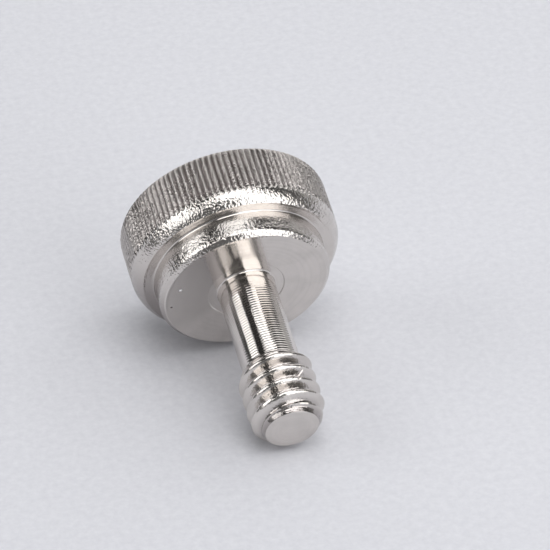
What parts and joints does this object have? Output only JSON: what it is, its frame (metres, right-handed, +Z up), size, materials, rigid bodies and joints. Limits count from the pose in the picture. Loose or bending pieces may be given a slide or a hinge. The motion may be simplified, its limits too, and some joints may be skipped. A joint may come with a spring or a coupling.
{
  "type": "knurled thumb screw",
  "caption": "Plated thumb screw with a straight-knurled round head, a stepped collar with a flat seat, a relieved neck and a short threaded end, lying on its side.",
  "frame": {"origin": "on the ground, under the middle of the part's box", "axes": "+Z is up; the screw's axis lies in the YZ plane, with the tip towards -Y and 18.2 degrees below level"},
  "size_m": [0.0176, 0.0246, 0.0179],
  "materials": {
    "nickel_plate": "bright nickel plate over turned and knurled steel"
  },
  "bodies": {
    "root": {"screw": "nickel_plate"}
  },
  "joints": []
}
